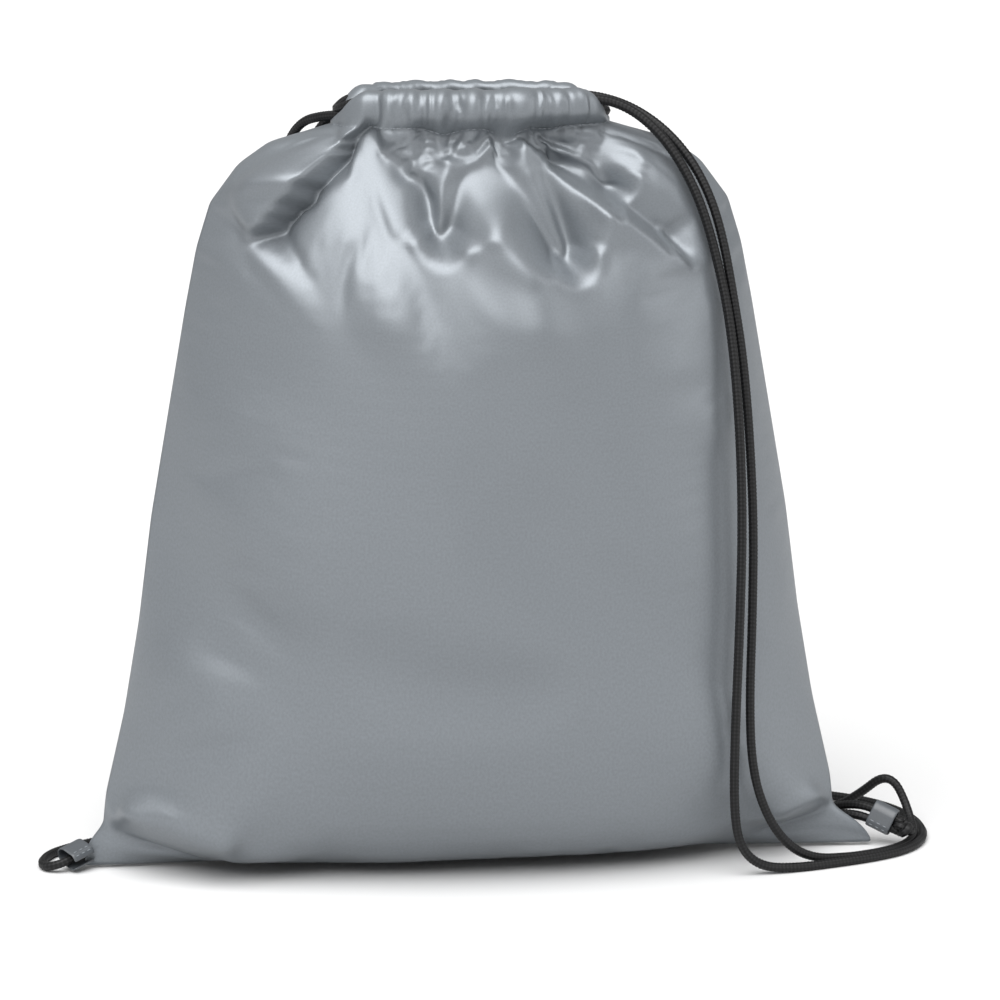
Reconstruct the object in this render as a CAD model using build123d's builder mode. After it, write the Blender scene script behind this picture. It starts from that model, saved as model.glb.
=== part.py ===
"""Drawstring shoe bag, stuffed and standing, with its mouth drawn shut.

Frame: +X to the right side seam, +Y to the back, +Z up, millimetres.
The origin is on the floor under the middle of the bag.
"""
from build123d import *
import math
import os

os.makedirs("parts", exist_ok=True)

# ---- driving dimensions -------------------------------------------------------
CLOTH = 1.2               # solid stand-in for one layer of polyester cloth
SEAM_WIDTH = 6.0          # seam allowance turned to the inside
SEAM_THICK = 1.6          # both allowances together

BODY_TOP = 321.0          # height of the hem's stitch line
HEM_HEIGHT = 16.0         # height of the hem channel
HEM_OUT = (62.0, 27.0)    # half width and half depth of the gathered hem, outside
HEM_WALL = 1.0            # hem cloth, gathered
HEM_DEPTH = 11.0          # outer wall to inner wall of one gathered hem
HEM_REACH = 47.0          # each hem stops this far from the middle, for the cord ends
STITCH_THICK = 0.4
STITCH_HEIGHT = 1.2
STITCH_LIFT = 0.4         # stitch line above the hem's lower edge

# height, half width, half depth of the stuffed bag, from the floor up to the hem
SECTIONS = [
    (0.0, 148.0, 30.0),
    (12.0, 158.0, 47.0),
    (35.0, 157.5, 55.0),
    (70.0, 150.0, 61.0),
    (110.0, 143.0, 65.0),
    (155.0, 137.0, 66.0),
    (200.0, 129.0, 63.5),
    (245.0, 121.0, 57.0),
    (270.0, 116.0, 50.0),
    (290.0, 109.0, 43.0),
    (305.0, 98.0, 36.0),
    (314.0, 85.0, 31.0),
    (BODY_TOP, HEM_OUT[0], HEM_OUT[1]),
]

CORD_D = 4.0
ARC_SHARE = 0.45          # share of the shorter run that a bend's arc takes up
KNOT_R = 5.8

# bottom corner ears: where each starts inside the bag, and its size there and at its tip
EAR_INNER_X = 132.0
EAR_INNER_WIDTH = 46.0
EAR_INNER_HEIGHT = 13.0
EAR_TIP_WIDTH = 12.0
EAR_TIP_HEIGHT = 5.6

TAB_WIDTH = 11.0
TAB_LENGTH = 12.5
TAB_THICK = 0.8
TAB_GAP = 7.0
TAB_CLEAR = 0.3           # tab root to ear, across the tab's bend line
TACK_LENGTH = 2.0         # tack stitches, from TACK_START past the tab's root
TACK_THICK = 0.3
TACK_START = 0.5
TACK_MARGIN = 1.0         # tack stitches to the tab's side edges

# where each tab is sewn in, which way it points, and the line it is sewn along
LEFT_ROOT = Vector(-168.0, -6.0, 5.4)
LEFT_OUT = Vector(-0.634, 0.724, 0.272)
LEFT_LINE = Vector(0.774, 0.594, 0.222)
RIGHT_ROOT = Vector(180.0, 0.0, 7.0)
RIGHT_OUT = Vector(0.45, 0.10, 0.887)
RIGHT_LINE = Vector(0.828, -0.419, -0.373)

LEFT_KNOT = Vector(-111.0, 47.2, KNOT_R)
RIGHT_KNOT = Vector(191.6, -4.0, 8.4)

LOW = BODY_TOP + 5.0      # channel height of the left cord
HIGH = BODY_TOP + 11.0    # channel height of the right cord

# Route of the right cord, knot to knot: back through the right tab, round behind the
# bag, over the floor, up the front, through both hems and down again beside itself.
RIGHT_ROUTE = [
    (190.5, -3.6, 6.4),
    (181.0, 0.6, 10.2),
    (170.5, 6.0, 13.4),
    (158.5, 17.0, 9.5),
    (143.5, 29.0, 4.0),
    (125.0, 37.5, 2.1),
    (108.0, 43.5, 2.0),
    (97.0, 53.5, 2.0),
    (95.5, 67.5, 2.0),
    (103.5, 80.0, 2.0),
    (119.0, 88.0, 2.0),
    (139.5, 88.5, 2.0),
    (163.0, 82.0, 2.0),
    (184.0, 70.0, 2.0),
    (197.0, 54.0, 2.0),
    (203.5, 35.0, 2.0),
    (204.5, 16.0, 2.0),
    (200.5, -1.0, 2.0),
    (190.0, -15.5, 2.0),
    (174.0, -25.0, 2.0),
    (155.0, -32.0, 2.0),
    (137.0, -37.5, 2.0),
    (121.5, -40.0, 3.5),
    (111.5, -42.5, 13.0),
    (108.0, -46.0, 32.0),
    (107.8, -49.0, 68.0),
    (109.0, -50.0, 112.0),
    (110.0, -48.0, 157.0),
    (109.0, -43.0, 200.0),
    (106.0, -35.0, 240.0),
    (101.0, -29.0, 266.0),
    (95.5, -26.0, 286.0),
    (89.0, -22.0, 301.5),
    (80.0, -18.0, 315.5),
    (69.0, -14.5, 326.0),
    (57.0, -12.5, 331.5),
    (44.5, -14.2, HIGH),
    (28.0, -19.2, HIGH),
    (8.0, -21.6, HIGH),
    (-12.0, -21.3, HIGH),
    (-31.0, -18.5, HIGH),
    (-46.0, -13.8, 332.6),
    (-58.0, -10.5, 333.2),
    (-65.5, -2.5, 331.9),
    (-65.5, 6.0, 331.9),
    (-58.0, 13.0, 332.6),
    (-46.0, 14.4, HIGH),
    (-30.0, 18.9, HIGH),
    (-10.0, 21.5, HIGH),
    (10.0, 21.3, HIGH),
    (30.0, 18.6, HIGH),
    (46.0, 12.9, HIGH),
    (58.5, 4.5, 330.8),
    (70.0, -4.0, 326.6),
    (81.5, -10.8, 318.4),
    (91.5, -17.0, 306.5),
    (99.0, -22.5, 291.5),
    (104.0, -26.6, 273.5),
    (107.9, -30.4, 250.0),
    (111.6, -34.4, 225.0),
    (114.0, -38.5, 194.0),
    (115.6, -43.0, 155.0),
    (115.2, -45.0, 115.0),
    (114.5, -44.5, 76.0),
    (116.5, -42.5, 47.0),
    (123.5, -39.5, 26.0),
    (134.0, -34.5, 11.0),
    (146.0, -29.0, 3.6),
    (161.0, -24.0, 2.0),
    (177.0, -18.5, 2.0),
    (190.5, -9.0, 2.0),
    (198.2, 4.0, 2.2),
    (199.5, 17.0, 5.0),
    (197.8, 24.0, 13.0),
    (193.8, 27.5, 21.5),
    (188.0, 31.0, 22.5),
    (180.5, 35.5, 14.5),
    (170.0, 43.0, 5.5),
    (156.5, 54.5, 2.0),
    (145.5, 66.0, 2.0),
    (133.5, 72.0, 2.0),
    (121.0, 72.3, 2.0),
    (110.9, 68.1, 2.0),
    (106.7, 58.0, 2.0),
    (110.9, 47.9, 2.0),
    (121.0, 43.7, 2.0),
    (135.0, 41.5, 2.6),
    (150.0, 33.0, 6.0),
    (163.0, 19.5, 12.5),
    (173.0, 6.6, 17.6),
    (183.4, 1.1, 14.3),
    (191.0, -2.6, 10.6),
]

# Route of the left cord, knot to knot: along the floor behind the bag, through the left
# tab, round and up the back, through both hems and down again beside itself.
LEFT_ROUTE = [
    (-113.0, 46.0, 5.0),
    (-122.5, 39.5, 3.0),
    (-135.0, 31.0, 2.2),
    (-148.5, 20.5, 3.8),
    (-160.5, 8.6, 8.4),
    (-170.5, -1.4, 7.2),
    (-178.5, -6.5, 4.2),
    (-185.5, -3.0, 2.0),
    (-187.0, 7.0, 2.0),
    (-183.0, 18.0, 2.0),
    (-175.0, 26.5, 2.0),
    (-165.0, 34.0, 2.0),
    (-151.0, 42.5, 2.0),
    (-136.0, 50.0, 2.0),
    (-119.0, 56.5, 2.0),
    (-101.0, 60.6, 2.0),
    (-85.0, 62.6, 2.4),
    (-74.5, 64.0, 8.0),
    (-70.3, 65.2, 20.0),
    (-69.3, 65.8, 42.0),
    (-70.0, 65.4, 74.0),
    (-71.0, 65.0, 116.0),
    (-72.0, 64.0, 158.0),
    (-74.0, 60.0, 200.0),
    (-76.5, 53.0, 241.0),
    (-78.5, 45.5, 267.0),
    (-79.5, 37.5, 290.0),
    (-77.0, 28.0, 308.5),
    (-71.0, 16.0, 321.0),
    (-61.5, 3.0, 324.6),
    (-53.0, -7.5, 325.6),
    (-42.0, -15.0, LOW),
    (-26.0, -19.5, LOW),
    (-7.0, -21.6, LOW),
    (12.0, -21.3, LOW),
    (31.0, -18.5, LOW),
    (46.0, -13.8, LOW),
    (57.3, -6.5, LOW),
    (57.5, 6.5, LOW),
    (46.0, 13.8, LOW),
    (30.0, 18.6, LOW),
    (10.0, 21.4, LOW),
    (-10.0, 21.5, LOW),
    (-29.0, 19.1, LOW),
    (-44.5, 13.7, LOW),
    (-55.5, 16.8, 324.3),
    (-63.0, 24.5, 317.5),
    (-67.0, 33.0, 305.0),
    (-67.5, 41.5, 288.0),
    (-66.5, 49.0, 266.0),
    (-65.0, 56.0, 240.0),
    (-63.5, 62.5, 200.0),
    (-61.5, 66.5, 158.0),
    (-60.2, 68.6, 116.0),
    (-59.5, 69.5, 74.0),
    (-58.8, 71.5, 40.0),
    (-55.5, 76.0, 18.0),
    (-46.0, 80.5, 5.0),
    (-29.0, 83.0, 2.0),
    (6.0, 84.6, 2.0),
    (40.0, 84.4, 2.0),
    (66.0, 82.5, 2.0),
    (75.9, 78.4, 2.0),
    (80.0, 68.5, 2.0),
    (75.9, 58.6, 2.0),
    (66.0, 54.5, 2.0),
    (40.0, 53.0, 2.0),
    (4.0, 53.6, 2.0),
    (-34.0, 54.0, 2.0),
    (-66.0, 52.6, 2.0),
    (-92.0, 50.6, 2.4),
    (-107.0, 48.6, 5.0),
]


def direction(a, b):
    return (Vector(*b) - Vector(*a)).normalized()


def bend_radii(points):
    """Largest arc each corner has room for."""
    radii = []
    for before, corner, after in zip(points, points[1:], points[2:]):
        turn = direction(before, corner).get_angle(direction(corner, after))
        shorter = min((Vector(*corner) - Vector(*before)).length,
                      (Vector(*after) - Vector(*corner)).length)
        radii.append(ARC_SHARE * shorter / math.tan(math.radians(turn) / 2))
    return radii


def cord(name, points):
    """One cord along its route: straight runs joined by tangent arcs."""
    radii = bend_radii(points)
    with BuildPart() as tube:
        with BuildLine() as path:
            FilletPolyline(*points, radius=radii)
        route = path.wire()
        with BuildSketch(Plane(route @ 0, z_dir=route % 0)):
            Circle(CORD_D / 2)
        sweep(path=route)
    tube.part.label = name
    length = route.length
    share = tube.part.volume / (math.pi * CORD_D ** 2 / 4 * length)
    print(f"{name}: length {length:.0f}, volume over section x length {share:.4f}")
    print("  radii", " ".join(f"{radius:.0f}" for radius in radii))
    export_step(tube.part, f"parts/{name}.step")


def shrink(axes, amount):
    return (axes[0] - amount, axes[1] - amount)


def front_half(axes):
    """Front half of an ellipse, as a filled shape."""
    with BuildSketch() as shape:
        Ellipse(*axes)
        with Locations((0, -axes[1])):
            Rectangle(4 * axes[0], 2 * axes[1], mode=Mode.INTERSECT)
    return shape.sketch


def front_shell():
    """Front half of the stuffed bag: a curved wall and half of the base."""
    with BuildPart() as wall:
        for height, half_width, half_depth in SECTIONS:
            axes = (half_width, half_depth)
            with BuildSketch(Plane.XY.offset(height)):
                add(front_half(axes))
                add(front_half(shrink(axes, CLOTH)), mode=Mode.SUBTRACT)
        loft()
        with BuildSketch():
            add(front_half(SECTIONS[0][1:]))
        extrude(amount=CLOTH)
    return wall.part


def body_core():
    """Filled inside of the bag, for cutting what must not reach into it."""
    with BuildPart() as core:
        for height, half_width, half_depth in SECTIONS[:5]:
            with BuildSketch(Plane.XY.offset(height)):
                Ellipse(half_width - CLOTH / 2, half_depth - CLOTH / 2)
        loft()
    return core.part


def ear(root, out, across, tip_size):
    """Flattened corner from inside the bag out to the tab's seam."""
    inner_x = math.copysign(EAR_INNER_X, root.X)
    inner = Plane(origin=(inner_x, 0, EAR_INNER_HEIGHT / 2), x_dir=(0, 1, 0), z_dir=(root.X, 0, 0))
    tip = Plane(origin=root - out * TAB_CLEAR, x_dir=across, z_dir=out)
    with BuildPart() as flap:
        with BuildSketch(inner):
            Rectangle(EAR_INNER_WIDTH, EAR_INNER_HEIGHT)
        with BuildSketch(tip):
            Rectangle(*tip_size)
        loft()
    return flap.part


# ---- the bag: two panels sewn together at the sides and along the bottom -------
with BuildPart() as ears:
    add(ear(LEFT_ROOT, LEFT_OUT, LEFT_LINE, (EAR_TIP_WIDTH, EAR_TIP_HEIGHT)))
    add(ear(RIGHT_ROOT, RIGHT_OUT, RIGHT_OUT.cross(RIGHT_LINE), (EAR_TIP_HEIGHT, EAR_TIP_WIDTH)))
    add(body_core(), mode=Mode.SUBTRACT)

front_wall = front_shell()
back_wall = mirror(front_wall, about=Plane.XZ)
for name, wall, keep in (("front_panel", front_wall, Keep.TOP),
                         ("back_panel", back_wall, Keep.BOTTOM)):
    with BuildPart() as ear_halves:
        add(ears.part)
        split(bisect_by=Plane.XZ, keep=keep)
    with BuildPart() as panel:
        add(wall)
        add(ear_halves.part)
    panel.part.label = name
    export_step(panel.part, f"parts/{name}.step")

# ---- seam allowances turned inside, one band down each side and one below ------
SEAM_GAP = 0.5
SEAM_LOW = 20.0
side_line = [(half_width - CLOTH - SEAM_GAP, height)
             for height, half_width, half_depth in SECTIONS
             if SEAM_LOW < height < BODY_TOP]
inner_line = [(x - SEAM_WIDTH, z) for x, z in reversed(side_line)]
for name, side in (("left_side_seam", -1), ("right_side_seam", 1)):
    with BuildPart() as side_seam:
        with BuildSketch(Plane.XZ):
            with BuildLine():
                Polyline(*[(side * x, z) for x, z in side_line + inner_line], close=True)
            make_face()
        extrude(amount=SEAM_THICK / 2, both=True)
    side_seam.part.label = name
    export_step(side_seam.part, f"parts/{name}.step")

BOTTOM_SEAM_HALF = SECTIONS[0][1] - SEAM_WIDTH
with BuildPart() as bottom_seam:
    with Locations((0, 0, CLOTH + SEAM_WIDTH / 2)):
        Box(2 * BOTTOM_SEAM_HALF, SEAM_THICK, SEAM_WIDTH)
bottom_seam.part.label = "bottom_seam"
export_step(bottom_seam.part, "parts/bottom_seam.step")


# ---- hems: a channel along each gathered top edge, open at both ends -----------
def ring(bottom, height, outer, inner):
    """Elliptical wall standing on a level."""
    with BuildPart() as wall:
        with BuildSketch(Plane.XY.offset(bottom)):
            Ellipse(*outer)
            Ellipse(*inner, mode=Mode.SUBTRACT)
        extrude(amount=height)
    return wall.part


hem_wall = ring(BODY_TOP, HEM_HEIGHT, HEM_OUT, shrink(HEM_OUT, HEM_DEPTH))
channel = ring(BODY_TOP + HEM_WALL, HEM_HEIGHT - 2 * HEM_WALL,
               shrink(HEM_OUT, HEM_WALL), shrink(HEM_OUT, HEM_DEPTH - HEM_WALL))
stitch_ring = ring(BODY_TOP + STITCH_LIFT, STITCH_HEIGHT,
                   shrink(HEM_OUT, -STITCH_THICK), HEM_OUT)

HEM_HALF_DEPTH = 40.0
for label, side in (("front", -1), ("back", 1)):
    with BuildPart() as hem:
        add(hem_wall)
        add(channel, mode=Mode.SUBTRACT)
        with Locations((0, side * HEM_HALF_DEPTH / 2, BODY_TOP + HEM_HEIGHT / 2)):
            Box(2 * HEM_REACH, HEM_HALF_DEPTH, HEM_HEIGHT, mode=Mode.INTERSECT)
    hem.part.label = f"{label}_hem"
    export_step(hem.part, f"parts/{label}_hem.step")
    with BuildPart() as stitching:
        add(stitch_ring)
        with Locations((0, side * HEM_HALF_DEPTH / 2, BODY_TOP + HEM_HEIGHT / 2)):
            Box(2 * HEM_REACH, HEM_HALF_DEPTH, HEM_HEIGHT, mode=Mode.INTERSECT)
    stitching.part.label = f"{label}_hem_stitching"
    export_step(stitching.part, f"parts/{label}_hem_stitching.step")


# ---- corner tabs: folded loops the cords pass through --------------------------
TAB_HEIGHT = TAB_GAP + 2 * TAB_THICK
TAB_STRAIGHT = TAB_LENGTH - TAB_HEIGHT / 2


def loop_profile(height):
    """Half-round end and two straight legs, as a filled shape from the root out."""
    with Locations((TAB_STRAIGHT / 2, 0)):
        Rectangle(TAB_STRAIGHT, height)
    with Locations((TAB_STRAIGHT, 0)):
        Circle(height / 2)


for label, root, out, line in (("left", LEFT_ROOT, LEFT_OUT, LEFT_LINE),
                               ("right", RIGHT_ROOT, RIGHT_OUT, RIGHT_LINE)):
    across = Plane(origin=root, x_dir=out, z_dir=line)
    with BuildPart() as tab:
        with BuildSketch(across):
            loop_profile(TAB_HEIGHT)
        extrude(amount=TAB_WIDTH / 2, both=True)
        with BuildSketch(across):
            loop_profile(TAB_GAP)
        extrude(amount=TAB_WIDTH, both=True, mode=Mode.SUBTRACT)
    tab.part.label = f"{label}_tab"
    export_step(tab.part, f"parts/{label}_tab.step")
    with BuildPart() as tack:
        for face_side in (-1, 1):
            with BuildSketch(across):
                with Locations((TACK_LENGTH / 2 + TACK_START,
                                face_side * (TAB_HEIGHT + TACK_THICK) / 2)):
                    Rectangle(TACK_LENGTH, TACK_THICK)
            extrude(amount=TAB_WIDTH / 2 - TACK_MARGIN, both=True)
    tack.part.label = f"{label}_tab_stitching"
    export_step(tack.part, f"parts/{label}_tab_stitching.step")

# ---- cords and the knot that joins the two ends of each ------------------------
for name, centre in (("left_knot", LEFT_KNOT), ("right_knot", RIGHT_KNOT)):
    with BuildPart() as knot:
        with Locations(centre):
            Sphere(KNOT_R)
    knot.part.label = name
    export_step(knot.part, f"parts/{name}.step")

cord("left_cord", LEFT_ROUTE)
cord("right_cord", RIGHT_ROUTE)
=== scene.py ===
"""Drawstring shoe bag, stuffed and standing, with its mouth drawn shut.

The cloth is two sheets, shaped, folded and then settled by a cloth simulation. The
cords, knots, corner tabs, seams and stitching are built round it.
Metres, +X to the right side seam, +Y to the back, +Z up.
"""
import math

import bmesh
import bpy
from mathutils import Matrix, Vector


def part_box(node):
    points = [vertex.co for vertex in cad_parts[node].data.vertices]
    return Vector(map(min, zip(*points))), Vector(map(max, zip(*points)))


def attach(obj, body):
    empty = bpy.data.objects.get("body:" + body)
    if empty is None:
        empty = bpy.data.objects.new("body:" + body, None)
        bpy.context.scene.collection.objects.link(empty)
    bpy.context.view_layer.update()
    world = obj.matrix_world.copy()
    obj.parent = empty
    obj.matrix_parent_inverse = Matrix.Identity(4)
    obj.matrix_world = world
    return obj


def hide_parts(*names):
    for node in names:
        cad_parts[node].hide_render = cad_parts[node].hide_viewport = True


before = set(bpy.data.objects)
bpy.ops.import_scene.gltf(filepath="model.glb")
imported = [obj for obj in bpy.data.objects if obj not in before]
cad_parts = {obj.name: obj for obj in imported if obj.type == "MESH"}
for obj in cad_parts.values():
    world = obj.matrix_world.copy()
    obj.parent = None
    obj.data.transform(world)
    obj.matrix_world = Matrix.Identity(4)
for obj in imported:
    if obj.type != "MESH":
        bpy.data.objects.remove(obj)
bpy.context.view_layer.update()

bl_info = {
    "name": "Drawstring shoe bag",
    "version": (1, 0, 0),
    "blender": (4, 5, 0),
    "location": "View3D > Sidebar > Shoe bag",
    "description": "Builds the bag's cloth, cords, knots, tabs and stitching round its frame",
    "category": "Add Mesh",
}

# ---- heights taken from the frame ---------------------------------------------
HEM_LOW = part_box("front_hem")[0][2]
HEM_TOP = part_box("front_hem")[1][2]
LOW = HEM_LOW + 0.005      # height of the left cord inside the hem
HIGH = HEM_LOW + 0.011     # height of the right cord, which lies over it

# ---- cloth of one panel, as it is cut ------------------------------------------
CUT_WIDTH = 0.350
WALL_LENGTH = 0.380        # bottom seam to stitch line
HEM_LENGTH = 0.034         # up, over and down again inside
COLUMNS = 104
WALL_ROWS = 96
HEM_ROWS = 14
ROW_CROWDING = 0.42        # how much closer the rows lie near the hem than near the bottom

# cloth distance from the bottom seam, half width, height of the side edge
SIDE_PROFILE = [
    (0.000, 0.1690, 0.0015), (0.012, 0.1665, 0.0120), (0.024, 0.1600, 0.0200),
    (0.041, 0.1595, 0.0255), (0.059, 0.1585, 0.0340), (0.097, 0.1500, 0.0700), (0.138, 0.1430, 0.1100),
    (0.183, 0.1370, 0.1550), (0.229, 0.1290, 0.2000), (0.274, 0.1210, 0.2450),
    (0.300, 0.1160, 0.2700), (0.321, 0.1100, 0.2890), (0.340, 0.0980, 0.3050),
    (0.356, 0.0850, 0.3140), (0.380, 0.0590, 0.3215),
]
BASE_ARCH = 0.0032         # the bag rests on its corners, its bottom a little off the floor
RIGHT_EAR_REACH = 0.1785   # the right corner is pulled further out than the left
# cloth distance from the bottom seam, half depth, height of the middle
MIDDLE_PROFILE = [
    (0.000, 0.0005, 0.0016), (0.045, 0.0445, 0.0018), (0.055, 0.0510, 0.0065),
    (0.075, 0.0555, 0.0270), (0.111, 0.0610, 0.0650), (0.151, 0.0650, 0.1050),
    (0.196, 0.0655, 0.1500), (0.241, 0.0630, 0.1950), (0.286, 0.0560, 0.2400),
    (0.312, 0.0490, 0.2650), (0.333, 0.0430, 0.2850), (0.350, 0.0370, 0.3000),
    (0.362, 0.0325, 0.3090), (0.380, 0.0270, 0.3210),
]

# Deep folds that hang from the gathers: ridge line from the hem to the point, half width
# at the middle, depth, and height of the small ridge left standing inside.
FRONT_POCKETS = [
    ([(-0.013, 0.330), (-0.014, 0.306), (-0.018, 0.277)], 0.0215, 0.0175, 0.0070),
    ([(0.011, 0.330), (0.021, 0.300), (0.038, 0.268)], 0.0185, 0.0180, 0.0045),
    ([(0.031, 0.330), (0.047, 0.310), (0.063, 0.293)], 0.0130, 0.0120, 0.0010),
]
BACK_POCKETS = [
    ([(0.022, 0.330), (0.024, 0.305), (0.027, 0.272)], 0.0170, 0.0090, 0.0040),
    ([(-0.008, 0.330), (-0.016, 0.300), (-0.030, 0.262)], 0.0160, 0.0095, 0.0035),
    ([(-0.030, 0.330), (-0.046, 0.306), (-0.062, 0.284)], 0.0120, 0.0070, 0.0010),
]
# Creases: line, rise on its lower side, fall on its upper side, reach of each.
FRONT_CREASES = [
    ([(-0.040, 0.326), (-0.054, 0.316), (-0.067, 0.302), (-0.083, 0.288), (-0.099, 0.274)],
     0.0055, 0.0150, 0.020, 0.030),
    ([(0.014, 0.322), (0.034, 0.302), (0.050, 0.291), (0.067, 0.281), (0.082, 0.271), (0.097, 0.262)],
     0.0055, 0.0140, 0.016, 0.020),
]
BACK_CREASES = [
    ([(0.046, 0.326), (0.062, 0.308), (0.080, 0.288), (0.098, 0.268)], 0.0030, 0.0060, 0.016, 0.026),
    ([(-0.040, 0.322), (-0.056, 0.304), (-0.078, 0.286), (-0.096, 0.272)], 0.0025, 0.0055, 0.014, 0.022),
]
# Soft ridges (positive) and hollows (negative): line, height, half width.
FRONT_RIDGES = [
    ([(-0.112, 0.296), (-0.093, 0.301), (-0.068, 0.303)], 0.0060, 0.0060),
    ([(-0.104, 0.308), (-0.085, 0.314), (-0.062, 0.316)], -0.0070, 0.0080),
    ([(-0.053, 0.319), (-0.050, 0.318)], 0.0030, 0.0035),
    ([(-0.006, 0.316), (-0.010, 0.309), (-0.014, 0.304)], 0.0040, 0.0045),
    ([(-0.112, 0.292), (-0.106, 0.283), (-0.100, 0.276)], -0.0030, 0.0060),
    ([(-0.060, 0.290), (-0.046, 0.262), (-0.036, 0.232)], 0.0035, 0.0150),
    ([(0.010, 0.292), (0.018, 0.260), (0.026, 0.228)], 0.0050, 0.0130),
    ([(0.058, 0.270), (0.074, 0.240), (0.082, 0.210)], 0.0040, 0.0140),
    ([(-0.142, 0.190), (-0.120, 0.140), (-0.094, 0.088)], -0.0060, 0.0200),
    ([(-0.134, 0.110), (-0.112, 0.066), (-0.090, 0.035)], 0.0022, 0.0200),
    ([(-0.108, 0.240), (-0.078, 0.212), (-0.052, 0.178)], -0.0030, 0.0200),
    ([(-0.075, 0.112), (-0.020, 0.092), (0.040, 0.086)], -0.0060, 0.0200),
    ([(0.000, 0.175), (0.050, 0.128), (0.104, 0.085)], -0.0065, 0.0240),
    ([(0.096, 0.262), (0.100, 0.220), (0.104, 0.180)], 0.0030, 0.0120),
    ([(0.112, 0.240), (0.116, 0.190), (0.120, 0.130)], -0.0030, 0.0120),
    ([(0.112, 0.020), (0.128, 0.050), (0.136, 0.090)], -0.0040, 0.0100),
    ([(-0.030, 0.034), (0.030, 0.026), (0.090, 0.030)], 0.0020, 0.0140),
    ([(-0.158, 0.030), (-0.134, 0.029), (-0.108, 0.020)], 0.0065, 0.0050),
    ([(-0.110, 0.021), (-0.105, 0.019)], 0.0040, 0.0050),
    ([(-0.125, 0.120), (-0.090, 0.100), (-0.070, 0.060)], -0.0034, 0.0180),
    ([(-0.116, 0.172), (-0.088, 0.150), (-0.060, 0.112)], 0.0022, 0.0200),
    ([(-0.150, 0.014), (-0.128, 0.014), (-0.108, 0.010)], -0.0070, 0.0055),
    ([(0.158, 0.028), (0.140, 0.024), (0.124, 0.016)], 0.0040, 0.0055),
    ([(0.154, 0.013), (0.138, 0.012), (0.124, 0.009)], -0.0060, 0.0050),
    ([(-0.060, 0.262), (-0.020, 0.245), (0.030, 0.236)], 0.0020, 0.0160),
]
BACK_RIDGES = [
    ([(0.060, 0.240), (0.030, 0.190), (0.004, 0.150)], -0.0040, 0.0220),
    ([(-0.100, 0.220), (-0.080, 0.170), (-0.050, 0.120)], -0.0040, 0.0220),
    ([(0.100, 0.130), (0.060, 0.090), (0.010, 0.070)], 0.0030, 0.0200),
    ([(-0.020, 0.110), (-0.070, 0.070), (-0.120, 0.040)], -0.0030, 0.0180),
    ([(0.120, 0.240), (0.116, 0.180), (0.122, 0.120)], -0.0030, 0.0120),
]
GATHER_PINCH = -0.0028     # how deep the valleys between the gathers are
# Gathers along each hem: middle of the lobe, half width, bulge.
FRONT_GATHERS = [
    (-0.0480, 0.0075, 0.0010), (-0.0375, 0.0030, 0.0022), (-0.0325, 0.0022, 0.0018),
    (-0.0270, 0.0034, 0.0026), (-0.0215, 0.0022, 0.0016), (-0.0160, 0.0036, 0.0030),
    (-0.0100, 0.0024, 0.0014), (-0.0020, 0.0056, 0.0034), (0.0058, 0.0022, 0.0016),
    (0.0104, 0.0025, 0.0014), (0.0190, 0.0062, 0.0034), (0.0274, 0.0024, 0.0018),
    (0.0330, 0.0034, 0.0022), (0.0405, 0.0044, 0.0018), (0.0500, 0.0060, 0.0012),
]
BACK_GATHERS = [
    (-0.0470, 0.0070, 0.0012), (-0.0365, 0.0036, 0.0024), (-0.0300, 0.0030, 0.0018),
    (-0.0225, 0.0048, 0.0030), (-0.0150, 0.0028, 0.0018), (-0.0080, 0.0044, 0.0030),
    (-0.0010, 0.0026, 0.0016), (0.0060, 0.0046, 0.0030), (0.0135, 0.0028, 0.0016),
    (0.0205, 0.0044, 0.0030), (0.0280, 0.0032, 0.0018), (0.0360, 0.0048, 0.0024),
    (0.0460, 0.0060, 0.0014),
]

EDGE_LIFT_POWER = 3.0      # how late the wall rises towards the side seams
HEM_SLANT = 0.0060         # how far the gathers lean across the hem
HEM_SLANT_WAVES = 150.0
HEM_DROPS = ((-0.0130, 0.0034), (0.0120, 0.0048), (0.0300, 0.0016))  # x, drop of the stitch line
HEM_DROP_REACH = 0.0065
HEM_AXES = (0.0565, 0.0215)    # half width and half depth of the hem channel's middle line
HEM_UP = 0.34              # share of the hem cloth that goes up the outside
HEM_OVER = 0.64            # share at which it has gone over the top
HEM_HALF = 0.0050          # half the channel's width
HEM_ROUND = 0.0042         # height of its rounded top
NEAR_HEM = 0.034           # length of wall that takes part in the gathers
POCKET_RIM = 0.0012        # small rise round each deep fold
EAR_LENGTH = 0.022         # cloth over which the right corner is drawn out
WALL_MIDDLE = (0.065, 0.15)    # how far back and how high the middle of a sheet is

# ---- settling of the cloth -------------------------------------------------------
SIM_SCALE = 10.0           # cloth settles better when it is a few metres tall
SLACK = 1.016              # how much larger the cloth is than the shape it lies in
MOST_MOVED = 0.006
HELD_ABOVE = HEM_LOW - 0.003
HELD_BELOW = 0.004

# ---- cords ---------------------------------------------------------------------
CORD_D = 0.004
BRAID_PITCH = 0.0034
BRAID_STRANDS = 4
RING_STEP = 0.0008
RING_SIDES = 16
LEFT_LENGTH = 1.50
RIGHT_LENGTH = 1.70

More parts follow.
